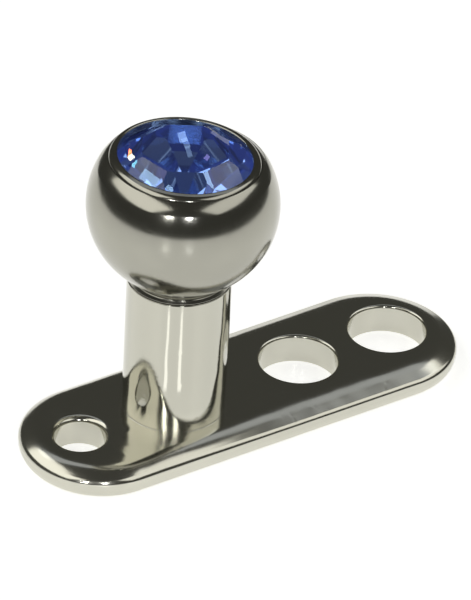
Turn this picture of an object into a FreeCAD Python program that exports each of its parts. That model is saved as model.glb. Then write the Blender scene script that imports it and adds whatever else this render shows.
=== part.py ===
# Dermal anchor with a jewelled ball top, in millimetres.
# The origin is on the plate's underside, on the post's axis. +X runs along the plate
# towards its long arm with the two large holes, and +Z runs up the post.
import FreeCAD, Part
import math
import os

from FreeCAD import Vector

# Plate: two round ends of unlike radius, joined by their common tangents
PLATE_THICK = 0.53
HEEL_X = -1.35
HEEL_R = 1.30
TOE_X = 3.92
TOE_R = 1.34
TOP_EDGE_R = 0.25
UNDER_EDGE_R = 0.27

# Each hole in the plate: centre along X, bore radius, rounding of its upper rim
HOLES = (
    (-1.73, 0.41, 0.14),
    (2.39, 0.64, 0.05),
    (4.14, 0.64, 0.05),
)
HOLE_UNDER_R = 0.05

# Post, with a blind socket for the stud
POST_R = 0.825
POST_TALL = 2.42
POST_FOOT_R = 0.05
POST_RIM_R = 0.02
SOCKET_R = 0.60
SOCKET_DEEP = 2.20
SOCKET_LEAD = 0.06

# Ball top: a slightly flattened ball with a short collar, a stud and a worked-over lip
BALL_R = 1.50
BALL_HALF_TALL = 1.425
BALL_ABOVE_PLATE = 3.77
SEAT_GAP = 0.015
COLLAR_R = 0.80
CREASE_R = 1.275
LIP_DEG = 31.0
LIP_ROUND_R = 0.035
LIP_IN_R = 1.04
STUD_R = 0.57
STUD_LONG = 2.0
STUD_POINT = 0.15

# Stone: table, crown, thin girdle and pavilion, each ring of facets cut eight times round
STONE_GAP = 0.02
FACETS = 8
STONE_TURN_DEG = 12.0
GIRDLE_R = 1.10
GIRDLE_THICK = 0.05
GIRDLE_TOP = 0.72
TABLE_R = 0.66
CROWN_DEG = 33.0
CROWN_HALF_DEG = 40.0
PAVILION_DEG = 42.0
PAVILION_HALF_DEG = 46.0

POST_TOP = PLATE_THICK + POST_TALL
BALL_Z = PLATE_THICK + BALL_ABOVE_PLATE
BALL_BOTTOM = POST_TOP + SEAT_GAP
STONE_TOP = BALL_Z + GIRDLE_TOP
STONE_UNDER = STONE_TOP - GIRDLE_THICK
OVER = 0.1


def line(start, end):
    return Part.LineSegment(Vector(start[0], 0, start[1]), Vector(end[0], 0, end[1])).toShape()


def polyline(*points):
    return [line(a, b) for a, b in zip(points, points[1:])]


def arc(centre, radius, start_deg, end_deg):
    """Arc in the XZ plane about a centre, between two angles counted from +X."""
    points = []
    for degrees in (start_deg, (start_deg + end_deg) / 2, end_deg):
        turn = math.radians(degrees)
        points.append(Vector(centre[0] + radius * math.cos(turn), 0, centre[1] + radius * math.sin(turn)))
    return Part.Arc(*points).toShape()


def turned(edges):
    """Solid of revolution about Z from a closed outline in the XZ half-plane."""
    face = Part.Face(Part.Wire(edges))
    return face.revolve(Vector(0, 0, 0), Vector(0, 0, 1), 360)


def plate_outline():
    lean = (HEEL_R - TOE_R) / (TOE_X - HEEL_X)
    side = math.sqrt(1 - lean * lean)
    heel = Vector(HEEL_X + HEEL_R * lean, HEEL_R * side, 0)
    toe = Vector(TOE_X + TOE_R * lean, TOE_R * side, 0)
    heel_near = Vector(heel.x, -heel.y, 0)
    toe_near = Vector(toe.x, -toe.y, 0)
    return Part.Wire([
        Part.LineSegment(heel, toe).toShape(),
        Part.Arc(toe, Vector(TOE_X + TOE_R, 0, 0), toe_near).toShape(),
        Part.LineSegment(toe_near, heel_near).toShape(),
        Part.Arc(heel_near, Vector(HEEL_X - HEEL_R, 0, 0), heel).toShape(),
    ])


def level_edges(solid, height):
    """Edges that lie wholly at one height."""
    near = 1e-6
    return [e for e in solid.Edges
            if abs(e.BoundBox.ZMin - height) < near and abs(e.BoundBox.ZMax - height) < near]


def hole_cutter(x, bore_r, rim_r):
    """A bore with its two rounded rims, as the solid that is taken out of the plate."""
    wide_top = bore_r + rim_r
    wide_under = bore_r + HOLE_UNDER_R
    cutter = turned(
        polyline((0, -OVER), (wide_under, -OVER), (wide_under, 0))
        + [arc((wide_under, HOLE_UNDER_R), HOLE_UNDER_R, 270, 180)]
        + [line((bore_r, HOLE_UNDER_R), (bore_r, PLATE_THICK - rim_r))]
        + [arc((wide_top, PLATE_THICK - rim_r), rim_r, 180, 90)]
        + polyline((wide_top, PLATE_THICK), (wide_top, PLATE_THICK + OVER), (0, PLATE_THICK + OVER), (0, -OVER))
    )
    cutter.translate(Vector(x, 0, 0))
    return cutter


def make_plate():
    plate = Part.Face(plate_outline()).extrude(Vector(0, 0, PLATE_THICK))
    plate = plate.makeFillet(TOP_EDGE_R, level_edges(plate, PLATE_THICK))
    plate = plate.makeFillet(UNDER_EDGE_R, level_edges(plate, 0))
    for x, bore_r, rim_r in HOLES:
        plate = plate.cut(hole_cutter(x, bore_r, rim_r))
    return plate


def make_post():
    """Post with a fillet at its foot, rooted in the plate that it is one piece with."""
    root = PLATE_THICK / 2
    foot_r = POST_R + POST_FOOT_R
    foot_z = PLATE_THICK + POST_FOOT_R
    rim_z = POST_TOP - POST_RIM_R
    return turned(
        polyline((0, root), (foot_r, root), (foot_r, PLATE_THICK))
        + [arc((foot_r, foot_z), POST_FOOT_R, 270, 180)]
        + [line((POST_R, foot_z), (POST_R, rim_z))]
        + [arc((POST_R - POST_RIM_R, rim_z), POST_RIM_R, 0, 90)]
        + polyline((POST_R - POST_RIM_R, POST_TOP), (0, POST_TOP), (0, root))
    )


def make_socket():
    """Blind bore for the stud, with a small lead-in at its mouth."""
    floor = POST_TOP - SOCKET_DEEP
    mouth_r = SOCKET_R + SOCKET_LEAD
    return turned(polyline(
        (0, floor), (SOCKET_R, floor), (SOCKET_R, POST_TOP - SOCKET_LEAD), (mouth_r, POST_TOP),
        (mouth_r, POST_TOP + OVER), (0, POST_TOP + OVER), (0, floor),
    ))


def make_anchor_base():
    """Plate and post as one piece of metal."""
    return make_plate().fuse(make_post()).cut(make_socket()).removeSplitter()


def ball_rise(radius):
    """How far the ball's surface lies above or below its centre at a given radius."""
    return BALL_HALF_TALL * math.sqrt(1 - (radius / BALL_R) ** 2)


def ball_side():
    """The ball's flattened round side, from the collar up to the lip's crease."""
    curve = Part.Ellipse(Vector(BALL_R, 0, BALL_Z), Vector(0, 0, BALL_Z + BALL_HALF_TALL), Vector(0, 0, BALL_Z))
    low = curve.parameter(Vector(COLLAR_R, 0, BALL_Z - ball_rise(COLLAR_R))) - 2 * math.pi
    high = curve.parameter(Vector(CREASE_R, 0, BALL_Z + ball_rise(CREASE_R)))
    return curve.toShape(low, high)


def seat_slope():
    """Steepness of the ridges between the pavilion's facets, which the seat follows."""
    return math.tan(math.radians(PAVILION_DEG)) * math.cos(math.pi / FACETS)


def make_ball_top():
    """Ball, collar, stud, stone's seat and lip as one piece of metal."""
    slope = math.radians(LIP_DEG)
    crease_z = BALL_Z + ball_rise(CREASE_R)
    round_x = LIP_IN_R + LIP_ROUND_R
    round_z = crease_z - (LIP_ROUND_R + (round_x - CREASE_R) * math.sin(slope)) / math.cos(slope)
    lip_end = (round_x + LIP_ROUND_R * math.sin(slope), round_z + LIP_ROUND_R * math.cos(slope))

    crown = math.radians(CROWN_DEG)
    pocket_r = GIRDLE_R + STONE_GAP
    lip_under = STONE_TOP + STONE_GAP / math.cos(crown)
    lip_in_z = lip_under + (GIRDLE_R - LIP_IN_R) * math.tan(crown)
    lip_out_z = lip_under - STONE_GAP * math.tan(crown)

    seat_drop = STONE_GAP * math.sqrt(1 + seat_slope() ** 2)
    seat_tip_z = STONE_UNDER - GIRDLE_R * math.tan(math.radians(PAVILION_DEG)) - seat_drop
    seat_edge_z = seat_tip_z + pocket_r * seat_slope()

    stud_tip_z = BALL_BOTTOM - STUD_LONG
    return turned(
        polyline((0, stud_tip_z), (STUD_R - STUD_POINT, stud_tip_z), (STUD_R, stud_tip_z + STUD_POINT),
                 (STUD_R, BALL_BOTTOM), (COLLAR_R, BALL_BOTTOM), (COLLAR_R, BALL_Z - ball_rise(COLLAR_R)))
        + [ball_side()]
        + [line((CREASE_R, crease_z), lip_end)]
        + [arc((round_x, round_z), LIP_ROUND_R, 90 - LIP_DEG, 180)]
        + polyline((LIP_IN_R, round_z), (LIP_IN_R, lip_in_z), (pocket_r, lip_out_z),
                   (pocket_r, seat_edge_z), (0, seat_tip_z), (0, stud_tip_z))
    )


def facet_cut(solid, azimuth_deg, tilt_deg, radius, height, upward):
    """Grind one flat facet: its plane passes through one point at a radius and height."""
    side = 6 * GIRDLE_R
    block = Part.makeBox(side, side, side, Vector(-side / 2, -side / 2, 0))
    tilt = tilt_deg if upward else 180 - tilt_deg
    block.rotate(Vector(0, 0, 0), Vector(0, 1, 0), tilt)
    block.translate(Vector(radius, 0, height))
    block.rotate(Vector(0, 0, 0), Vector(0, 0, 1), azimuth_deg)
    return solid.cut(block)


def make_stone():
    """Round stone whose facets meet in a table above and a point below."""
    crown_tall = (GIRDLE_R - TABLE_R) * math.tan(math.radians(CROWN_DEG))
    pavilion_deep = GIRDLE_R * math.tan(math.radians(PAVILION_DEG))
    base = Vector(0, 0, STONE_UNDER - pavilion_deep - OVER)
    stone = Part.makeCylinder(GIRDLE_R, OVER + pavilion_deep + GIRDLE_THICK + crown_tall, base)
    step = 360 / FACETS
    for k in range(FACETS):
        main = STONE_TURN_DEG + k * step
        half = main + step / 2
        stone = facet_cut(stone, main, CROWN_DEG, GIRDLE_R, STONE_TOP, True)
        stone = facet_cut(stone, half, CROWN_HALF_DEG, GIRDLE_R, STONE_TOP, True)
        stone = facet_cut(stone, main, PAVILION_DEG, GIRDLE_R, STONE_UNDER, False)
        stone = facet_cut(stone, half, PAVILION_HALF_DEG, GIRDLE_R, STONE_UNDER, False)
    return stone


def save(shape, node):
    solid = shape.Solids[0]
    assert len(shape.Solids) == 1 and solid.isValid(), node
    solid.exportStep("parts/" + node + ".step")
    box = solid.BoundBox
    print("%s: %.3f mm3, X %.3f to %.3f, Y %.3f to %.3f, Z %.3f to %.3f" % (
        node, solid.Volume, box.XMin, box.XMax, box.YMin, box.YMax, box.ZMin, box.ZMax))


os.makedirs("parts", exist_ok=True)
save(make_anchor_base(), "anchor_base")
save(make_ball_top(), "ball_top")
save(make_stone(), "stone")
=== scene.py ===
import math

import bmesh
import bpy
from mathutils import Matrix, Vector
from mathutils.geometry import area_tri, delaunay_2d_cdt


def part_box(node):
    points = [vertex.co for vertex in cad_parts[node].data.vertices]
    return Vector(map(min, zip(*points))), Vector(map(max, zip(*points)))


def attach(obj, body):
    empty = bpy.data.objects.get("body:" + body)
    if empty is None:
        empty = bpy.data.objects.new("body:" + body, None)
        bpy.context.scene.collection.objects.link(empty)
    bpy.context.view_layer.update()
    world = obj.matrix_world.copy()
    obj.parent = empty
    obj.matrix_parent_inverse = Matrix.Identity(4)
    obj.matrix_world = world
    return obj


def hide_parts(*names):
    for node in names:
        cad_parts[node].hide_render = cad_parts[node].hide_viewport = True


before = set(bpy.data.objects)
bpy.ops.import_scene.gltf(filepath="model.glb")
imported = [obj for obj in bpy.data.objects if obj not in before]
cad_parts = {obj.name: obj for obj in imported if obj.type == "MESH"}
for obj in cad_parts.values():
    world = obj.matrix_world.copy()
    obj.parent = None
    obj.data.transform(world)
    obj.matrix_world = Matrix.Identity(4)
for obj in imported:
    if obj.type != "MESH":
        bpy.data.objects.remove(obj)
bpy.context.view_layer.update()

# Foot plate and post
# One piece of surgical steel: a flat foot with two round ends and three holes, and a round
# post that stands up from it. It is turned and milled, then barrelled until every edge is
# soft and the whole surface shines. Sizes here are in millimetres.
MM = 0.001
base_low, base_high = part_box("anchor_base")
PLATE_THICK = 0.53
HEEL_R = 1.30
TOE_R = base_high.y / MM
HEEL_X = base_low.x / MM + HEEL_R
TOE_X = base_high.x / MM - TOE_R
BEVEL_WIDE = 0.46
BEVEL_NARROW = 0.34
BEVEL_FROM_X = -0.5
BEVEL_TO_X = 1.6
BEVEL_EASE = 0.26
BEVEL_DEEP = 0.15
TOP_EDGE_WIDE = 0.06
TOP_EDGE_TALL = 0.05
UNDER_EDGE_R = 0.27
HOLE_UNDER_R = 0.05
POST_R = 0.825
POST_TOP = base_high.z / MM
POST_RIM_R = 0.02
FOOT_WIDE = 0.012
FOOT_TALL = 0.012
SOCKET_R = 0.60
SOCKET_LEAD = 0.06
SOCKET_DEEP = 2.20
SOCKET_FLOOR_ROUND = 0.03
SMALL_ROUND = 0.01
OUTLINE_STEP = 0.035
AROUND_POST = 224
AROUND_HOLE = 128
ROUND_STEPS = 14

# Each hole: centre along X, bore radius, width and height of its soft upper rim
holes = (
    (-1.73, 0.41, 0.11, 0.09),
    (2.39, 0.64, 0.05, 0.05),
    (4.14, 0.64, 0.05, 0.05),
)
# Widths of the evenly ringed strips along the edge, round the holes and round the post
EDGE_STRIP = 0.06
HOLE_STRIP = 0.07
POST_STRIP = 0.08
FIELD_STEP = 0.04
# Tolerances: points taken as one, the snap of flat faces, the area of slivers left out, and
# the least steepness kept where a soft edge meets its wall
SAME_PLACE = 1e-6
FLAT_SNAP = 1e-7
LEAST_AREA = 1e-8
LEAST_SIDE = 1e-9


def corner_blend(before, corner, after, cut_in, cut_out, steps):
    """Soft corner between two straight runs: points and the outward normals beside them."""
    run_in = (before - corner).normalized() * cut_in
    run_out = (after - corner).normalized() * cut_out
    found = []
    for k in range(steps + 1):
        t = math.pi / 2 * k / steps
        point = corner + run_in * (1 - math.sin(t)) + run_out * (1 - math.cos(t))
        way = run_out * math.sin(t) - run_in * math.cos(t)
        found.append((point.x, point.y, *Vector((way.y, -way.x)).normalized()))
    return found


def straight_run(start, end, steps=1):
    """Straight part of a profile as points with one shared normal."""
    way = (end - start).normalized()
    return [(*start.lerp(end, k / steps), way.y, -way.x) for k in range(steps + 1)]


def soft_profile(corners, steps=ROUND_STEPS):
    """Profile through corners (radius, height, cut before, cut after), as radius, height and normal."""
    places = [Vector(c[:2]) for c in corners]
    profile = []
    leave = places[0]
    for k in range(1, len(corners)):
        cut_in, cut_out = corners[k][2:]
        arrive = places[k] + (places[k - 1] - places[k]).normalized() * cut_in
        if (arrive - leave).length > SAME_PLACE:
            profile += straight_run(leave, arrive)
        if k + 1 < len(corners) and cut_in > 0:
            profile += corner_blend(places[k - 1], places[k], places[k + 1], cut_in, cut_out, steps)
            arrive = Vector(profile[-1][:2])
        leave = arrive
    return profile


class Skin:
    """A mesh in the making: points, faces, and one normal for each corner of each face."""

    def __init__(self):
        self.points = []
        self.faces = []
        self.normals = []

    def sweep(self, stations, profile):
        """Carry a profile round closed stations, each a place and an outward direction. Gives its rings."""
        count = len(stations)
        rings = []
        for k, (reach, height, out, up) in enumerate(profile):
            same = k > 0 and math.dist(profile[k - 1][:2], (reach, height)) < SAME_PLACE
            if same:
                rings.append(rings[-1])
            elif reach == 0 and stations[0][0] == stations[1][0]:
                rings.append([len(self.points)] * count)
                self.points.append(Vector((*stations[0][0], height)))
            else:
                rings.append(range(len(self.points), len(self.points) + count))
                self.points += [Vector((*(place + way * reach), height)) for place, way in stations]
            if k > 0 and not same:
                self.band(stations, rings[-2], rings[-1], profile[k - 1][2:], (out, up))
        return rings

    def band(self, stations, low, high, low_normal, high_normal):
        """Faces between two rings."""
        count = len(stations)
        for j in range(count):
            after = (j + 1) % count
            corners = []
            for ring, index, (out, up) in (
                (low, j, low_normal), (low, after, low_normal),
                (high, after, high_normal), (high, j, high_normal),
            ):
                if corners and ring[index] in [c[0] for c in corners]:
                    continue
                corners.append((ring[index], Vector((*(stations[index][1] * out), up))))
            self.faces.append([c[0] for c in corners])
            self.normals += [c[1] for c in corners]

    def level(self, loops, extra, height, up):
        """Flat face inside the first closed loop of points, with the other loops as holes in it."""
        flat = []
        owner = []
        group = []
        edges = []
        for number, loop in enumerate(loops):
            first = len(flat)
            flat += [self.points[i].xy for i in loop]
            owner += list(loop)
            group += [number] * len(loop)
            edges += [(first + k, first + (k + 1) % len(loop)) for k in range(len(loop))]
        for place in extra:
            flat.append(place)
            owner.append(len(self.points))
            group.append(0)
            self.points.append(Vector((*place, height)))
        faces, origin = delaunay_2d_cdt(flat, edges, [], 0, FLAT_SNAP)[2:4]
        for face in faces:
            ring = [origin[i][0] for i in face]
            in_hole = group[ring[0]] > 0 and len({group[i] for i in ring}) == 1
            if in_hole or area_tri(*(flat[i] for i in ring)) < LEAST_AREA:
                continue
            ring = ring if up > 0 else ring[::-1]
            self.faces.append([owner[i] for i in ring])
            self.normals += [Vector((0, 0, up))] * 3

    def build(self, name, *materials):
        """The finished mesh object, in metres."""
        mesh = bpy.data.meshes.new(name)
        mesh.from_pydata([p * MM for p in self.points], [], self.faces)
        mesh.polygons.foreach_set("use_smooth", [True] * len(mesh.polygons))
        mesh.normals_split_custom_set([n.normalized() for n in self.normals])
        for material in materials:
            mesh.materials.append(material)
        piece = bpy.data.objects.new(name, mesh)
        bpy.context.scene.collection.objects.link(piece)
        return piece


def round_stations(centre_x, count):
    """Places and outward directions once round an upright axis."""
    turns = [math.tau * k / count for k in range(count)]
    return [(Vector((centre_x, 0)), Vector((math.cos(t), math.sin(t)))) for t in turns]


def outline_stations():
    """Places and outward directions once round the plate's outline."""
    lean = math.acos((HEEL_R - TOE_R) / (TOE_X - HEEL_X))
    found = []
    for centre, radius, start, end in (
        (TOE_X, TOE_R, -lean, lean), (HEEL_X, HEEL_R, lean, math.tau - lean),
    ):
        steps = math.ceil(radius * (end - start) / OUTLINE_STEP)
        for k in range(steps + 1):
            turn = start + (end - start) * k / steps
            way = Vector((math.cos(turn), math.sin(turn)))
            found.append((Vector((centre, 0)) + way * radius, way))
        other = (HEEL_X, HEEL_R) if centre == TOE_X else (TOE_X, TOE_R)
        leave = found[-1][0]
        arrive = Vector((other[0], 0)) + way * other[1]
        steps = math.ceil((arrive - leave).length / OUTLINE_STEP)
        found += [(leave.lerp(arrive, k / steps), way) for k in range(1, steps)]
    return found


def plate_inset(place):
    """How far a place in the plan lies inside the plate's outline, and the outward direction there."""
    lean = (HEEL_R - TOE_R) / (TOE_X - HEEL_X)
    side = math.sqrt(1 - lean * lean)
    across = abs(place.y)
    along = place.x - HEEL_X
    if along < across * lean / side:
        way = Vector((along, across))
        reach = HEEL_R
    elif along > TOE_X - HEEL_X + across * lean / side:
        way = Vector((place.x - TOE_X, across))
        reach = TOE_R
    else:
        way = Vector((lean, side))
        return HEEL_R - way.dot(Vector((along, across))), Vector((lean, math.copysign(side, place.y)))
    gap = reach - way.length
    way.normalize()
    return gap, Vector((way.x, math.copysign(way.y, place.y)))


def softening(gap, wide, tall):
    """Height lost towards an elliptical edge at a gap from its wall, and how fast it changes."""
    reach = (wide - gap) / wide
    if reach <= 0:
        return 0, 0
    side = math.sqrt(max(1 - reach * reach, LEAST_SIDE))
    return tall * (1 - side), -tall * reach / (side * wide)


def bevel_drop(gap, along):
    """Height lost to the bevel, which widens towards the toe, and how fast it changes."""
    share = min(max((along - BEVEL_FROM_X) / (BEVEL_TO_X - BEVEL_FROM_X), 0), 1)
    wide = BEVEL_NARROW + (BEVEL_WIDE - BEVEL_NARROW) * share * share * (3 - 2 * share)
    into = wide - gap
    slope = BEVEL_DEEP / (wide - BEVEL_EASE / 2)
    if into <= 0:
        return 0, 0
    if into < BEVEL_EASE:
        return slope * into * into / (2 * BEVEL_EASE), slope * into / BEVEL_EASE
    return slope * (into - BEVEL_EASE / 2), slope


def plate_top(place):
    """Height of the plate's top and its slope, with the soft edge, rims and foot of the post."""
    gap, way = plate_inset(place)
    drop, rate = bevel_drop(max(gap, 0), place.x)
    height = PLATE_THICK - drop
    slope = way * -rate
    features = [
        (gap, -way, TOP_EDGE_WIDE, -TOP_EDGE_TALL),
        (place.length - POST_R, place.normalized(), FOOT_WIDE, FOOT_TALL),
    ]
    for hole_x, bore_r, rim_wide, rim_tall in holes:
        off = place - Vector((hole_x, 0))
        features.append((off.length - bore_r, off.normalized(), rim_wide, -rim_tall))
    for gap, way, wide, tall in features:
        change, rate = softening(max(gap, 0), wide, tall)
        height += change
        slope += way * rate
    return height, slope


def soft_strip(wall, side, wide, strip, end_height):
    """Rings from the flat to a wall, closer together where the surface turns down into it."""
    start = math.asin(max(1 - strip / wide, 0))
    profile = []
    for k in range(ROUND_STEPS + 1):
        gap = wide * (1 - math.sin(start + (math.pi / 2 - start) * k / ROUND_STEPS))
        profile.append((wall + side * gap, PLATE_THICK, 0, 1))
    profile[-1] = (wall, end_height, -side, 0)
    return profile


WALL_TOP = PLATE_THICK - BEVEL_DEEP - TOP_EDGE_TALL
anchor = Skin()
edge_profile = soft_profile((
    (-UNDER_EDGE_R, 0, 0, 0),
    (0, 0, UNDER_EDGE_R, UNDER_EDGE_R),
    (0, WALL_TOP, 0, 0),
))
edge_top = soft_strip(0, -1, TOP_EDGE_WIDE, EDGE_STRIP, WALL_TOP)
edge_rings = anchor.sweep(outline_stations(), edge_profile + edge_top[::-1])
top_loops = [edge_rings[-1]]
under_loops = [edge_rings[0]]
for hole_x, bore_r, rim_wide, rim_tall in holes:
    rim_profile = soft_strip(bore_r, 1, rim_wide, HOLE_STRIP, PLATE_THICK - rim_tall)
    hole_rings = anchor.sweep(round_stations(hole_x, AROUND_HOLE), rim_profile + soft_profile((
        (bore_r, PLATE_THICK - rim_tall, 0, 0),
        (bore_r, 0, HOLE_UNDER_R, HOLE_UNDER_R),
        (bore_r + HOLE_UNDER_R, 0, 0, 0),
    )))
    top_loops.append(hole_rings[0])
    under_loops.append(hole_rings[-1])

lead_r = SOCKET_R + SOCKET_LEAD
socket_floor = POST_TOP - SOCKET_DEEP
post_profile = soft_strip(POST_R, 1, FOOT_WIDE, POST_STRIP, PLATE_THICK + FOOT_TALL) + soft_profile((
    (POST_R, PLATE_THICK + FOOT_TALL, 0, 0),
    (POST_R, POST_TOP, POST_RIM_R, POST_RIM_R),
    (lead_r, POST_TOP, SMALL_ROUND, SMALL_ROUND),
    (SOCKET_R, POST_TOP - SOCKET_LEAD, SMALL_ROUND, SMALL_ROUND),
    (SOCKET_R, socket_floor, SOCKET_FLOOR_ROUND, SOCKET_FLOOR_ROUND),
    (0, socket_floor, 0, 0),
))
post_rings = anchor.sweep(round_stations(0, AROUND_POST), post_profile)
top_loops.append(post_rings[0])

# Points in the field of the plate wherever its top is not flat
field = []
for column in range(math.ceil((TOE_X + TOE_R - HEEL_X + HEEL_R) / FIELD_STEP)):
    for row in range(math.ceil(2 * TOE_R / FIELD_STEP)):
        shift = 0.5 * (row % 2)
        place = Vector((HEEL_X - HEEL_R + (column + shift) * FIELD_STEP, row * FIELD_STEP - TOE_R))
        clear = plate_inset(place)[0] - EDGE_STRIP
        clear = min(clear, place.length - POST_R - POST_STRIP)
        for hole_x, bore_r, rim_wide, _ in holes:
            clear = min(clear, (place - Vector((hole_x, 0))).length - bore_r - min(HOLE_STRIP, rim_wide))
        if clear > FIELD_STEP / 3 and plate_top(place)[1].length > 0:
            field.append(place)
anchor.level(top_loops, field, PLATE_THICK, 1)
anchor.level(under_loops, [], 0, -1)

# The top takes its height and its slope from the one rule, up to the walls
number = 0
on_top = set()
for face in anchor.faces:
    for index in face:
        point = anchor.points[index]
        if anchor.normals[number].z > 0 and point.xy.length > POST_R and point.z > PLATE_THICK / 2:
            slope = plate_top(point.xy)[1]
            anchor.normals[number] = Vector((-slope.x, -slope.y, 1))
            on_top.add(index)
        number += 1
walls = set(edge_rings[len(edge_profile)])
for index in on_top - walls:
    anchor.points[index].z = plate_top(anchor.points[index].xy)[0]


class Wire:
    """One output of a node. Arithmetic on it adds Math nodes to its tree."""

    def __init__(self, tree, socket):
        self.tree = tree
        self.socket = socket

    @classmethod
    def add(cls, tree, kind, settings=None, sockets=None, output=0):
        """A node of any kind: its settings first, then the values or links of its sockets."""
        node = tree.nodes.new(kind)
        for name, value in (settings or {}).items():
            setattr(node, name, value)
        for name, value in (sockets or {}).items():
            if isinstance(value, Wire):
                tree.links.new(value.socket, node.inputs[name])
            else:
                node.inputs[name].default_value = value
        return cls(tree, node.outputs[output]) if node.outputs else None

    def output(self, number):
        """Another output of the same node."""
        return Wire(self.tree, self.socket.node.outputs[number])

    def math(self, operation, *others):
        """A Math node whose first value is this wire."""
        values = dict(enumerate((self, *others)))
        return self.add(self.tree, "ShaderNodeMath", {"operation": operation}, values)

    def __add__(self, other):
        return self.math("ADD", other)

    __radd__ = __add__

    def __sub__(self, other):
        return self.math("SUBTRACT", other)

    def __rsub__(self, other):
        return (self * -1) + other

    def __mul__(self, other):
        return self.math("MULTIPLY", other)

    __rmul__ = __mul__

    def __truediv__(self, other):
        return self.math("DIVIDE", other)

    def __rtruediv__(self, other):
        return self.add(self.tree, "ShaderNodeMath", {"operation": "DIVIDE"}, {0: other, 1: self})


def new_material(name):
    """An empty node material and its tree."""
    material = bpy.data.materials.new(name)
    material.use_nodes = True
    material.node_tree.nodes.clear()
    return material, material.node_tree


def mix_colour(tree, factor, first, second):
    """From the first colour to the second as the factor grows, by socket number: they share names."""
    return Wire.add(tree, "ShaderNodeMix", {"data_type": "RGBA"}, {0: factor, 6: first, 7: second}, 2)


STEEL = (0.600, 0.592, 0.520, 1)
STEEL_DULL = (0.540, 0.530, 0.460, 1)
# The post's steel is darker than the plate's, as painted shade for the dimmer surroundings it mirrors; it
# takes over between the two heights below
POST_STEEL_PAINTED_SHADE = (0.500, 0.493, 0.430, 1)
PLATE_DULLER = 0.45
POST_FADE_LOW = 0.00062
POST_FADE_HIGH = 0.00092
# Scale of each pattern in the steel, and the stretch of the hairlines and the turning rings
HAZE_SCALE = 900.0
HAIR_SCALE = 26000.0
RING_SCALE = 30000.0
WAVE_SCALE = 1500.0
DENT_SCALE = 5200.0
HAIR_STRETCH = (1.0, 0.18, 0.6)
HAIR_TURN = (0.3, 0.2, 0.7)
RING_STRETCH = (0.02, 0.02, 1.0)
DENT_FROM = 0.66
DENT_TO = 0.76
# How deep the patterns go, and how the haze changes the roughness
HAIR_MARKS = 0.10
WAVE_MARKS = 8.0
RELIEF_STRENGTH = 0.35
RELIEF_DEEP = 0.000004
ROUGH_LEAST = 0.6
ROUGH_SPREAD = 0.8


def noise(tree, place, scale, detail, rough):
    """Noise of one scale over the surface."""
    return Wire.add(tree, "ShaderNodeTexNoise", {}, {
        "Vector": place, "Scale": scale, "Detail": detail, "Roughness": rough})


def polished_steel(name, bright, dull, rough, ring_marks, dent_marks, painted_shade_above=None):
    """Mirror-polished steel with faint hairlines, a soft polishing haze and turning rings; if given, a
    darker painted-shade colour and less roughness higher up.
    """
    material, tree = new_material(name)
    place = Wire.add(tree, "ShaderNodeTexCoord", output="Object")
    hair_place = Wire.add(tree, "ShaderNodeMapping", {}, {
        "Vector": place, "Scale": HAIR_STRETCH, "Rotation": HAIR_TURN})
    ring_place = Wire.add(tree, "ShaderNodeMapping", {}, {"Vector": place, "Scale": RING_STRETCH})
    haze = noise(tree, place, HAZE_SCALE, detail=4.0, rough=0.6)
    hair = noise(tree, hair_place, HAIR_SCALE, detail=2.0, rough=0.5)
    rings = noise(tree, ring_place, RING_SCALE, detail=3.0, rough=0.7)
    waves = noise(tree, place, WAVE_SCALE, detail=1.0, rough=0.4)
    dents = noise(tree, place, DENT_SCALE, detail=1.0, rough=0.5)
    dents = Wire.add(tree, "ShaderNodeMapRange", {}, {
        "Value": dents, "From Min": DENT_FROM, "From Max": DENT_TO})
    relief = hair * HAIR_MARKS + rings * ring_marks + waves * WAVE_MARKS - dents * dent_marks
    bump = Wire.add(tree, "ShaderNodeBump", {}, {
        "Height": relief, "Strength": RELIEF_STRENGTH, "Distance": RELIEF_DEEP})
    colour = mix_colour(tree, haze, bright, dull)
    grain = haze * (rough * ROUGH_SPREAD) + rough * ROUGH_LEAST
    if painted_shade_above:
        # Above the plate the colour turns to the darker painted shade, and the roughness drops
        height = Wire.add(tree, "ShaderNodeSeparateXYZ", {}, {0: place}, 2)
        post_shade_and_gloss = Wire.add(tree, "ShaderNodeMapRange", {}, {
            "Value": height, "From Min": POST_FADE_LOW, "From Max": POST_FADE_HIGH})
        colour = mix_colour(tree, post_shade_and_gloss, colour, painted_shade_above)
        grain = grain * (1 - post_shade_and_gloss * PLATE_DULLER)
    shader = Wire.add(tree, "ShaderNodeBsdfPrincipled", {}, {
        "Base Color": colour,
        "Metallic": 1.0,
        "Roughness": grain,
        "Normal": bump,
    })
    Wire.add(tree, "ShaderNodeOutputMaterial", {}, {"Surface": shader})
    return material


# The post's part of this material is darker, as painted shade
anchor_steel = polished_steel(
    "barrelled_steel_painted_shade_post", STEEL, STEEL_DULL, rough=0.16, ring_marks=0.25, dent_marks=0.35, painted_shade_above=POST_STEEL_PAINTED_SHADE)
anchor_piece = anchor.build("foot_and_post", anchor_steel)
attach(anchor_piece, "anchor")
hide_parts("anchor_base")

# Ball top
# A steel ball, a little flattened, turned in one piece with its short collar and its stud.
# Its top is bored out for the stone, and the lip left round the bore is rubbed down over it.
ball_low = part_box("ball_top")[0]
BALL_R = 1.50
BALL_HALF_TALL = 1.425
BALL_Z = 4.30
BALL_BOTTOM = 2.965
COLLAR_R = 0.82
COLLAR_TOP_R = 0.78
COLLAR_ROUND = 0.012
COLLAR_SHOULDER = 0.045
CREASE_R = 1.275
CREASE_ROUND = 0.11
CREASE_SIDE_SHARE = 0.6
LIP_DEG = 31.0
LIP_IN_R = 1.04
LIP_ROUND = 0.04
LIP_SWELL = 0.021
LIP_SWELL_CUT = 0.07
LIP_DEEP = 0.13
LIP_UNDERCUT = 0.06
GIRDLE_R = 1.10
STONE_GAP = 0.02
STUD_CORE_R = 0.50
STUD_POINT = 0.12
STUD_EDGE_ROUND = 0.02
SEAT_SLOPE_DEG = 39.8
SEAT_CLEARANCE = 0.03
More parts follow.
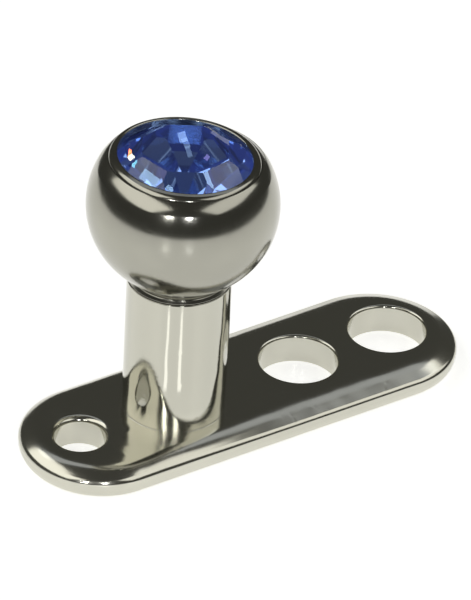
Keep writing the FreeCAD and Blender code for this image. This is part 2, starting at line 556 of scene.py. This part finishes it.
AROUND_BALL = 288
SIDE_STEPS = 64
NECK_STEPS = 6
CREASE_STEPS = 8
LIP_STEPS = 10
# The ball's steel colours are darker than the plate's, as painted shade for the dimmer surroundings it
# mirrors
BALL_STEEL_PAINTED_SHADE = (0.385, 0.379, 0.333, 1)
BALL_STEEL_DULL_PAINTED_SHADE = (0.342, 0.336, 0.292, 1)


def ball_point(turn):
    """Radius, height and normal on the ball's round side, at an angle above its middle."""
    normal = Vector((math.cos(turn) * BALL_HALF_TALL, math.sin(turn) * BALL_R)).normalized()
    return (BALL_R * math.cos(turn), BALL_Z + BALL_HALF_TALL * math.sin(turn), *normal)


side_low = -math.acos((COLLAR_TOP_R - COLLAR_SHOULDER) / BALL_R)
side_high = math.acos((CREASE_R + CREASE_ROUND * CREASE_SIDE_SHARE) / BALL_R)
side = [ball_point(side_low + (side_high - side_low) * k / SIDE_STEPS) for k in range(SIDE_STEPS + 1)]
crease_z = BALL_Z + BALL_HALF_TALL * math.sqrt(1 - (CREASE_R / BALL_R) ** 2)
lip_slope = math.tan(math.radians(LIP_DEG))
lip_top_z = crease_z + (CREASE_R - LIP_IN_R) * lip_slope
pocket_r = GIRDLE_R + STONE_GAP
stone_low, stone_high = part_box("stone")
seat_z = stone_low.z / MM - SEAT_CLEARANCE
seat_edge_z = seat_z + pocket_r * math.tan(math.radians(SEAT_SLOPE_DEG))
stud_tip = ball_low.z / MM

neck = soft_profile((
    (0, stud_tip, 0, 0),
    (STUD_CORE_R - STUD_POINT, stud_tip, STUD_EDGE_ROUND, STUD_EDGE_ROUND),
    (STUD_CORE_R, stud_tip + STUD_POINT, STUD_EDGE_ROUND, STUD_EDGE_ROUND),
    (STUD_CORE_R, BALL_BOTTOM, SMALL_ROUND, SMALL_ROUND),
    (COLLAR_R, BALL_BOTTOM, COLLAR_ROUND, COLLAR_ROUND),
    (COLLAR_TOP_R, side[0][1], COLLAR_SHOULDER, COLLAR_SHOULDER),
    side[0][:2] + (0, 0),
), NECK_STEPS)
crease_start = Vector(side[-1][:2])
crease_corner = Vector((CREASE_R, crease_z))
lip_corner = Vector((LIP_IN_R, lip_top_z))
lip_middle = crease_corner.lerp(lip_corner, 0.5) + Vector((LIP_SWELL, LIP_SWELL))
crease_cut = (crease_start - crease_corner).length
crease = corner_blend(
    crease_start, crease_corner, lip_corner, crease_cut, CREASE_ROUND, CREASE_STEPS)
lip = soft_profile((
    (*crease[-1][:2], 0, 0),
    (*lip_middle, LIP_SWELL_CUT, LIP_SWELL_CUT),
    (LIP_IN_R, lip_top_z, LIP_ROUND, LIP_ROUND),
    (LIP_IN_R, lip_top_z - LIP_DEEP, SMALL_ROUND, SMALL_ROUND),
    (pocket_r, lip_top_z - LIP_DEEP - LIP_UNDERCUT, SMALL_ROUND, SMALL_ROUND),
    (pocket_r, seat_edge_z, SMALL_ROUND, SMALL_ROUND),
    (0, seat_z, 0, 0),
), LIP_STEPS)
ball = Skin()
ball.sweep(round_stations(0, AROUND_BALL), neck + side + crease + lip)

# The lip was rubbed down by hand and leans a little to one side
LIP_LEAN = 0.055
LIP_LEAN_WAY = Vector((0.82, -0.572))
LEAN_FROM_R = 0.9
LEAN_TO_R = CREASE_R + 0.02
for point in ball.points:
    if point.z > crease_z and point.xy.length > LEAN_FROM_R:
        share = min((LEAN_TO_R - point.xy.length) / (CREASE_R - LIP_IN_R), 1)
        point.z -= LIP_LEAN * LIP_LEAN_WAY.dot(point.xy) * max(share, 0)
# The ball's steel is a darker, painted-shade copy of the plate's
ball_steel = polished_steel(
    "turned_ball_steel_painted_shade", BALL_STEEL_PAINTED_SHADE, BALL_STEEL_DULL_PAINTED_SHADE, rough=0.16, ring_marks=0.12, dent_marks=0.3)
ball_piece = ball.build("jewel_ball", ball_steel)
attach(ball_piece, "top")
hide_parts("ball_top")

# Screw thread on the stud
# The thread that holds the ball top in the post, cut on the lower part of the stud. It only
# shows when the top is lifted out. Its ridge climbs round the stud by one rule, made as nodes.
THREAD_CREST_R = 0.565
THREAD_PITCH = 0.25
THREAD_SEGMENTS = 72
THREAD_ROWS = 18
THREAD_SKIN = 0.005
THREAD_FLANK = 1.5
THREAD_RUN_OUT = 12.0
THREAD_FROM_POINT = 0.02
THREAD_FROM_COLLAR = 0.12
thread_low = stud_tip + STUD_POINT + THREAD_FROM_POINT
thread_high = BALL_BOTTOM - THREAD_FROM_COLLAR


def thread_tree():
    """Node tree that turns a closed cylinder into a screw thread."""
    tree = bpy.data.node_groups.new("screw_thread", "GeometryNodeTree")
    names = ("Core Radius", "Crest Radius", "Pitch", "Length", "Base Height")
    for name in names:
        tree.interface.new_socket(name, in_out="INPUT", socket_type="NodeSocketFloat")
    tree.interface.new_socket("Material", in_out="INPUT", socket_type="NodeSocketMaterial")
    tree.interface.new_socket("Geometry", in_out="OUTPUT", socket_type="NodeSocketGeometry")
    group = tree.nodes.new("NodeGroupInput")
    core, crest, pitch, length, base = (Wire(tree, group.outputs[name]) for name in names)
    tube = Wire.add(tree, "GeometryNodeMeshCylinder", {"fill_type": "NGON"}, {
        "Vertices": THREAD_SEGMENTS,
        "Side Segments": length * THREAD_ROWS / pitch,
        "Radius": core,
        "Depth": length,
    })
    place = Wire.add(tree, "GeometryNodeInputPosition")
    x = Wire.add(tree, "ShaderNodeSeparateXYZ", {}, {0: place})
    y = x.output(1)
    z = x.output(2)
    turn = y.math("ARCTAN2", x)
    phase = (z / pitch - turn * (1 / math.tau)).math("FRACT")
    flank = 1 - (phase * 2 - 1).math("ABSOLUTE")
    ridge = (flank * THREAD_FLANK).math("MINIMUM", 1.0)
    from_end = 1 - (z * 2 / length).math("ABSOLUTE")
    ends = (from_end * THREAD_RUN_OUT).math("MINIMUM", 1.0)
    grow = (core + (crest - core) * ridge * ends) / core
    moved = Wire.add(tree, "ShaderNodeCombineXYZ", {}, {0: x * grow, 1: y * grow, 2: z + base})
    shaped = Wire.add(tree, "GeometryNodeSetPosition", {}, {"Geometry": tube, "Position": moved})
    smooth = Wire.add(tree, "GeometryNodeSetShadeSmooth", {}, {"Geometry": shaped})
    real = Wire.add(tree, "GeometryNodeRealizeInstances", {}, {"Geometry": smooth})
    steel = Wire.add(tree, "GeometryNodeSetMaterial", {}, {
        "Geometry": real, "Material": Wire(tree, group.outputs["Material"])})
    Wire.add(tree, "NodeGroupOutput", {}, {"Geometry": steel})
    return tree


def grown_mesh(name, tree, values):
    """A plain mesh object from a node tree and the values of its named inputs."""
    seed = bpy.data.objects.new(name + "_seed", bpy.data.meshes.new(name + "_seed"))
    bpy.context.scene.collection.objects.link(seed)
    modifier = seed.modifiers.new("grow", "NODES")
    modifier.node_group = tree
    for item in tree.interface.items_tree:
        if item.name in values:
            modifier[item.identifier] = values[item.name]
    graph = bpy.context.evaluated_depsgraph_get()
    mesh = bpy.data.meshes.new_from_object(seed.evaluated_get(graph))
    mesh.name = name
    bpy.data.objects.remove(seed)
    piece = bpy.data.objects.new(name, mesh)
    bpy.context.scene.collection.objects.link(piece)
    return piece


thread_steel = polished_steel(
    "cut_thread_steel", STEEL, STEEL_DULL, rough=0.22, ring_marks=0.4, dent_marks=0.0)
thread_piece = grown_mesh("stud_thread", thread_tree(), {
    "Core Radius": (STUD_CORE_R + THREAD_SKIN) * MM,
    "Crest Radius": THREAD_CREST_R * MM,
    "Pitch": THREAD_PITCH * MM,
    "Length": (thread_high - thread_low) * MM,
    "Base Height": (thread_high + thread_low) / 2 * MM,
    "Material": thread_steel,
})
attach(thread_piece, "top")

# Blue stone
# A round stone of blue glass: a table and a ring of crown facets above its thin girdle, and
# pavilion facets that meet in a point below. The pavilion is silvered, as on all such stones,
# so that light that enters through the crown is thrown back out. It is ground facet by facet.
FACETS = 8
STONE_TURN_DEG = 12.0
GIRDLE_THICK = 0.05
GIRDLE_TOP = 0.72
CROWN_DEG = 33.0
CROWN_HALF_DEG = 40.0
PAVILION_DEG = 42.0
PAVILION_HALF_DEG = 46.0
GIRDLE_SIDES = 96
stone_top_z = BALL_Z + GIRDLE_TOP
stone_under_z = stone_top_z - GIRDLE_THICK
GLASS_BLUE = (0.84, 0.90, 1.0, 1)
GLASS_DEEP_BLUE = (0.05, 0.40, 0.92, 1)
GLASS_DENSITY = 400.0
GLASS_BEND = 1.58
FOIL_BLUE = (0.92, 0.95, 1.0, 1)
# A faint blue painted glow of the silvered back, which a real mirror coat does not give off
FOIL_PAINTED_GLOW = (0.13, 0.18, 0.54, 1)
FOIL_PAINTED_GLOW_STRENGTH = 0.12
FOIL_ROUGH = 0.03
# A face is silvered when it points at least this far down
SILVERED_FROM = -0.05


def grind(solid, azimuth_deg, tilt_deg, height, upward):
    """Cut one flat facet: everything beyond its plane goes, and the cut is closed."""
    azimuth = math.radians(azimuth_deg)
    tilt = math.radians(tilt_deg)
    side = 1 if upward else -1
    out = Vector((math.cos(azimuth), math.sin(azimuth), 0))
    way = out * math.sin(tilt) + Vector((0, 0, math.cos(tilt) * side))
    place = out * GIRDLE_R + Vector((0, 0, height))
    cut = bmesh.ops.bisect_plane(
        solid, geom=solid.verts[:] + solid.edges[:] + solid.faces[:], dist=SAME_PLACE,
        plane_co=place, plane_no=way, clear_outer=True)
    rim = [e for e in cut["geom_cut"] if isinstance(e, bmesh.types.BMEdge)]
    bmesh.ops.contextual_create(solid, geom=rim)


def crystal_glass():
    """Clear blue glass, polished."""
    material, tree = new_material("blue_glass")
    shader = Wire.add(tree, "ShaderNodeBsdfPrincipled", {}, {
        "Base Color": GLASS_BLUE, "Roughness": 0.0, "IOR": GLASS_BEND, "Transmission Weight": 1.0})
    depth = Wire.add(tree, "ShaderNodeVolumeAbsorption", {}, {
        "Color": GLASS_DEEP_BLUE, "Density": GLASS_DENSITY})
    Wire.add(tree, "ShaderNodeOutputMaterial", {}, {"Surface": shader, "Volume": depth})
    return material


def silver_backing_with_painted_glow():
    """The mirror coat on the pavilion, seen through the blue glass, with a faint blue painted glow of its
    own that lifts its darks.
    """
    material, tree = new_material("silvered_back_painted_glow")
    shader = Wire.add(tree, "ShaderNodeBsdfPrincipled", {}, {
        "Base Color": FOIL_BLUE, "Roughness": FOIL_ROUGH, "Metallic": 1.0,
        "Emission Color": FOIL_PAINTED_GLOW, "Emission Strength": FOIL_PAINTED_GLOW_STRENGTH})
    Wire.add(tree, "ShaderNodeOutputMaterial", {}, {"Surface": shader})
    return material


stone = bmesh.new()
bmesh.ops.create_cone(
    stone, cap_ends=True, segments=GIRDLE_SIDES, radius1=GIRDLE_R, radius2=GIRDLE_R,
    depth=stone_high.z / MM - stone_low.z / MM,
    matrix=Matrix.Translation((0, 0, (stone_high.z + stone_low.z) / 2 / MM)))
for k in range(FACETS):
    main_deg = STONE_TURN_DEG + k * 360 / FACETS
    half_deg = main_deg + 180 / FACETS
    grind(stone, main_deg, CROWN_DEG, stone_top_z, True)
    grind(stone, half_deg, CROWN_HALF_DEG, stone_top_z, True)
    grind(stone, main_deg, PAVILION_DEG, stone_under_z, False)
    grind(stone, half_deg, PAVILION_HALF_DEG, stone_under_z, False)
bmesh.ops.recalc_face_normals(stone, faces=stone.faces[:])
bmesh.ops.scale(stone, vec=(MM, MM, MM), verts=stone.verts[:])
for face in stone.faces:
    face.material_index = 1 if face.normal.z < SILVERED_FROM else 0
stone_mesh = bpy.data.meshes.new("blue_stone")
stone.to_mesh(stone_mesh)
stone.free()
stone_mesh.materials.append(crystal_glass())
stone_mesh.materials.append(silver_backing_with_painted_glow())
stone_piece = bpy.data.objects.new("blue_stone", stone_mesh)
bpy.context.scene.collection.objects.link(stone_piece)
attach(stone_piece, "top")
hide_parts("stone")

# Floor, lights and camera
# A round white sheet that glows evenly, a soft panel on each side and one behind, small lamps
# in front, and darkness above. Two thin strips of light by the plate stand for what a glossy
# table mirrors. The camera looks down on the part from the left front.
VIEW_AZIMUTH_DEG = -34.915
VIEW_ELEVATION_DEG = 34.733
VIEW_ROLL_DEG = 3.383
VIEW_DISTANCE = 0.06381
VIEW_TARGET = Vector((0.001379, 0.000419, 0.001774))
VIEW_LENS = 240
VIEW_SENSOR = 36
FLOOR_R = 0.035
FLOOR_SIDES = 96
FLOOR_WHITE = (0.85, 0.85, 0.84, 1)
FLOOR_LIGHT = (1, 1, 0.99, 1)
FLOOR_GLOW = 0.68
FLOOR_ROUGH = 0.25
LAMP_AWAY = 0.30
LAMP_LEFT_DEG = -16
LAMP_RIGHT_DEG = 10
LAMP_WHITE = (1.0, 1.0, 1.0)
FOOT_LAMP_WIDE = 0.030
FOOT_LAMP_TALL = 0.010
FOOT_LAMP_GLOW = 30
GLINT_AWAY = 0.0038
GLINT_HEIGHT = 0.00003
GLINT_WIDE = 0.0003
GLINT_LONG = 0.0023
GLINT_GLOW = 0.85
WORLD_DARK = (0.065, 0.065, 0.0585, 1)
WORLD_PALE = (1.0, 1.0, 1.0, 1)

# Each soft panel and lamp: azimuth from the camera's, elevation, width, height, glow and tint
panels = (
    ("panel_left", -76, 47, 0.42, 0.195, 1.5, (1.0, 0.985, 0.93)),
    ("panel_right", 84, 46, 0.42, 0.16, 1.15, (1.0, 0.99, 0.95)),
    ("panel_behind", 180, 66, 0.46, 0.09, 0.50, (0.88, 0.92, 1.0)),
    ("lamp_left", LAMP_LEFT_DEG, 22, 0.026, 0.016, 40, LAMP_WHITE),
    ("lamp_right", LAMP_RIGHT_DEG, 22, 0.026, 0.016, 32, (0.95, 0.96, 1.0)),
)


def toward(azimuth_deg, elevation_deg):
    """Direction from the part, at an azimuth counted from the camera's and an elevation."""
    azimuth = math.radians(VIEW_AZIMUTH_DEG + azimuth_deg)
    elevation = math.radians(elevation_deg)
    flat = math.cos(elevation)
    return Vector((math.sin(azimuth) * flat, -math.cos(azimuth) * flat, math.sin(elevation)))


def soft_panel(name, azimuth_deg, elevation_deg, wide, tall, glow, tint):
    """Rectangular light that faces the part."""
    light = bpy.data.lights.new(name, "AREA")
    light.shape = "RECTANGLE"
    light.size = wide
    light.size_y = tall
    light.energy = glow * math.pi * wide * tall
    light.color = tint
    lamp = bpy.data.objects.new(name, light)
    way = toward(azimuth_deg, elevation_deg)
    lamp.location = VIEW_TARGET + way * LAMP_AWAY
    lamp.rotation_euler = way.to_track_quat("Z", "Y").to_euler()
    lamp.visible_camera = False
    bpy.context.scene.collection.objects.link(lamp)
    return lamp


def floor_glint(name, azimuth_deg):
    """Narrow strip of light on the floor, where a polished floor would mirror a lamp."""
    strip = soft_panel(name, azimuth_deg, 0, GLINT_WIDE, GLINT_LONG, GLINT_GLOW, LAMP_WHITE)
    strip.location = toward(azimuth_deg, 0) * GLINT_AWAY + Vector((0, 0, GLINT_HEIGHT))
    strip.rotation_euler = (math.pi, 0, math.radians(VIEW_AZIMUTH_DEG + azimuth_deg))
    strip.light_linking.receiver_collection = anchor_alone


for panel in panels:
    soft_panel(*panel)

# The foot lamps and the strips on the floor light the foot and post alone
anchor_alone = bpy.data.collections.new("anchor_alone")
anchor_alone.objects.link(anchor_piece)
for side_name, azimuth_deg in (("left", LAMP_LEFT_DEG), ("right", LAMP_RIGHT_DEG)):
    floor_glint("glint_" + side_name, azimuth_deg)
    foot_lamp = soft_panel(
        "foot_lamp_" + side_name, azimuth_deg, VIEW_ELEVATION_DEG,
        FOOT_LAMP_WIDE, FOOT_LAMP_TALL, FOOT_LAMP_GLOW, LAMP_WHITE)
    foot_lamp.light_linking.receiver_collection = anchor_alone

floor_mesh = bpy.data.meshes.new("floor")
floor_shape = bmesh.new()
bmesh.ops.create_circle(floor_shape, cap_ends=True, segments=FLOOR_SIDES, radius=FLOOR_R)
floor_shape.to_mesh(floor_mesh)
floor_shape.free()
floor_material, floor_tree = new_material("white_sheet")
floor_shader = Wire.add(floor_tree, "ShaderNodeBsdfPrincipled", {}, {
    "Base Color": FLOOR_WHITE, "Roughness": FLOOR_ROUGH,
    "Emission Color": FLOOR_LIGHT, "Emission Strength": FLOOR_GLOW})
Wire.add(floor_tree, "ShaderNodeOutputMaterial", {}, {"Surface": floor_shader})
floor_mesh.materials.append(floor_material)
floor = bpy.data.objects.new("floor", floor_mesh)
bpy.context.scene.collection.objects.link(floor)

world = bpy.data.worlds.new("studio")
bpy.context.scene.world = world
world.use_nodes = True
sky = world.node_tree
sky.nodes.clear()
dark = Wire.add(sky, "ShaderNodeBackground", {}, {"Color": WORLD_DARK})
pale = Wire.add(sky, "ShaderNodeBackground", {}, {"Color": WORLD_PALE})
seen = Wire.add(sky, "ShaderNodeLightPath", output="Is Camera Ray")
both = Wire.add(sky, "ShaderNodeMixShader", {}, {0: seen, 1: dark, 2: pale})
Wire.add(sky, "ShaderNodeOutputWorld", {}, {"Surface": both})

camera_data = bpy.data.cameras.new("camera")
camera_data.lens = VIEW_LENS
camera_data.sensor_width = VIEW_SENSOR
camera_data.clip_start = 0.001
camera_data.clip_end = 10
camera = bpy.data.objects.new("camera", camera_data)
back = toward(0, VIEW_ELEVATION_DEG)
camera_roll = Matrix.Rotation(math.radians(VIEW_ROLL_DEG), 3, "Z").to_quaternion()
camera_turn = back.to_track_quat("Z", "Y") @ camera_roll
camera.rotation_mode = "QUATERNION"
camera.rotation_quaternion = camera_turn
camera.location = VIEW_TARGET + back * VIEW_DISTANCE
bpy.context.scene.collection.objects.link(camera)
bpy.context.scene.camera = camera
bpy.context.scene.view_settings.view_transform = "Standard"

# Fire and sparkles in the stone
# A cut stone throws back bright points from single facets. Each is a small coloured lamp,
# placed where one facet of the stone mirrors it into the camera, and it lights the stone alone.
PICTURE_WIDE = 471
PICTURE_TALL = 600
PIXEL = VIEW_SENSOR / VIEW_LENS / PICTURE_TALL

# Each sparkle: the two ends of its glint in the picture, its width there, its glow and its tint
sparkles = (
    ("fire_red", (126.5, 150.5), (130.5, 153.5), 6, 26, (1.0, 0.22, 0.05)),
    ("fire_white", (129.5, 155.5), (132.5, 159.0), 6, 16, (1.0, 0.95, 0.75)),
    ("fire_cyan", (131.5, 162.0), (136.0, 164.0), 8, 14, (0.20, 0.75, 1.0)),
    ("table_streak_far", (181.0, 132.0), (184.0, 142.0), 8, 4.0, (0.46, 0.68, 1.0)),
    ("table_streak_middle", (184.0, 138.0), (188.0, 148.0), 6, 2.2, (0.42, 0.64, 1.0)),
    ("table_streak_near", (187.0, 146.0), (190.5, 157.0), 5, 2.4, (0.40, 0.62, 1.0)),
    ("table_spot", (205.0, 156.0), (208.5, 159.0), 5, 4.0, (0.42, 0.38, 1.0)),
    ("right_streak", (203.5, 168.0), (212.5, 193.0), 6, 9.0, (0.40, 0.66, 1.0)),
    ("left_patch", (142.0, 173.0), (157.0, 184.0), 11, 8.0, (0.42, 0.70, 1.0)),
    ("front_spot", (166.5, 186.0), (172.5, 191.0), 5, 9.0, (0.40, 0.66, 1.0)),
    ("far_streak", (212.0, 131.0), (233.0, 145.0), 5, 1.6, (0.85, 0.90, 1.0)),
)


def sight(across, down):
    """Direction in which the camera sees one place of the picture."""
    right = (across - PICTURE_WIDE / 2) * PIXEL
    up = (PICTURE_TALL / 2 - down) * PIXEL
    return camera_turn @ Vector((right, up, -1)).normalized()


bpy.context.view_layer.update()
stone_alone = bpy.data.collections.new("stone_alone")
stone_alone.objects.link(stone_piece)
for name, start, end, wide, glow, tint in sparkles:
    middle = sight((start[0] + end[0]) / 2, (start[1] + end[1]) / 2)
    place, normal = stone_piece.ray_cast(camera.location, middle)[1:3]
    ends = []
    for spot in (start, end):
        way = sight(*spot)
        depth = (place - camera.location).dot(normal) / way.dot(normal)
        ends.append(camera.location + way * depth + way.reflect(normal) * LAMP_AWAY)
    mirrored = middle.reflect(normal)
    along = (ends[1] - ends[0]) - (ends[1] - ends[0]).dot(mirrored) * mirrored
    lamp_wide = wide * PIXEL * (LAMP_AWAY + VIEW_DISTANCE)
    spark = soft_panel(name, 0, 0, along.length, lamp_wide, glow, tint)
    spark.light_linking.receiver_collection = stone_alone
    spark.location = (ends[0] + ends[1]) / 2
    along.normalize()
    spark.rotation_euler = Matrix((along, mirrored.cross(along), mirrored)).transposed().to_euler()
